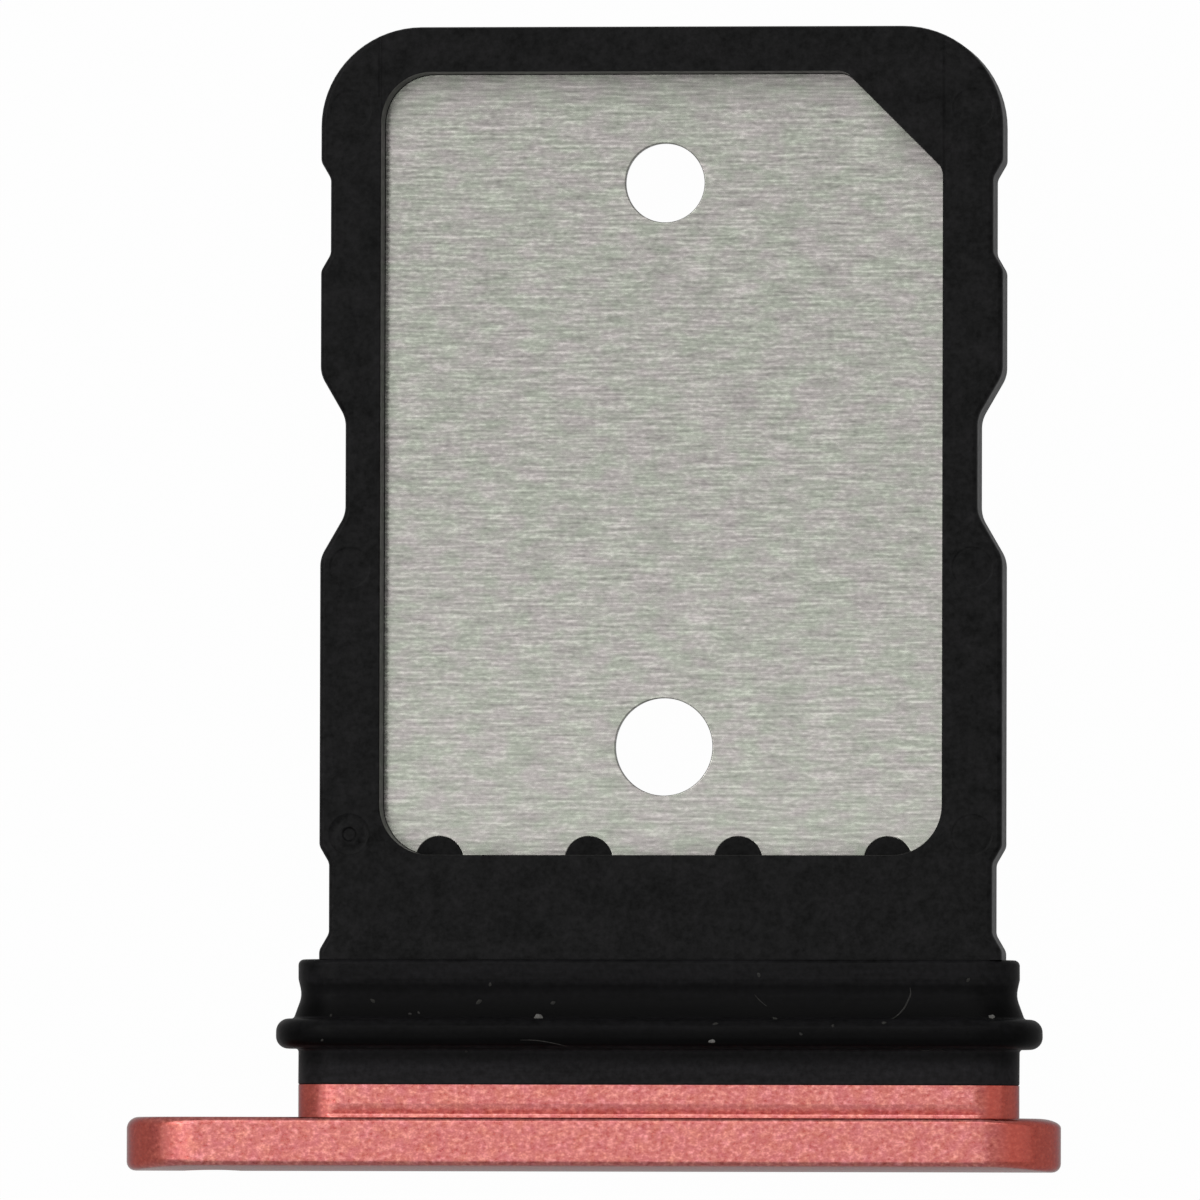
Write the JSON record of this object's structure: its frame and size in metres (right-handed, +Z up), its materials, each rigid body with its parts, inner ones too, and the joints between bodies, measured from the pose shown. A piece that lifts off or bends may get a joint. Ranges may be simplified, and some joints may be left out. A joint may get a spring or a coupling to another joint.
{
  "type": "sim card tray",
  "caption": "Flat card tray of a phone: anodised faceplate with an eject hole, moulded frame with detent notches and a keyed pocket over a steel floor, and a lipped silicone seal.",
  "frame": {"origin": "under the middle of the whole tray, level with the lowest edge of the faceplate", "axes": "+Y is the way the tray slides into the phone, +Z is up out of the card pocket, +X is to the right of the tray seen from its faceplate"},
  "size_m": [0.0148, 0.0182, 0.0024],
  "materials": {
    "anodised_coral": "bead blasted and anodised in coral, fine sparkle",
    "black_plastic": "moulded, fine matte texture",
    "brushed_steel": "stainless sheet brushed across the tray",
    "black_silicone": "matte silicone with a few specks of lint"
  },
  "bodies": {
    "root": {"faceplate": "anodised_coral", "tray_frame": "black_plastic", "floor_plate": "brushed_steel", "seal": "black_silicone"}
  },
  "joints": []
}
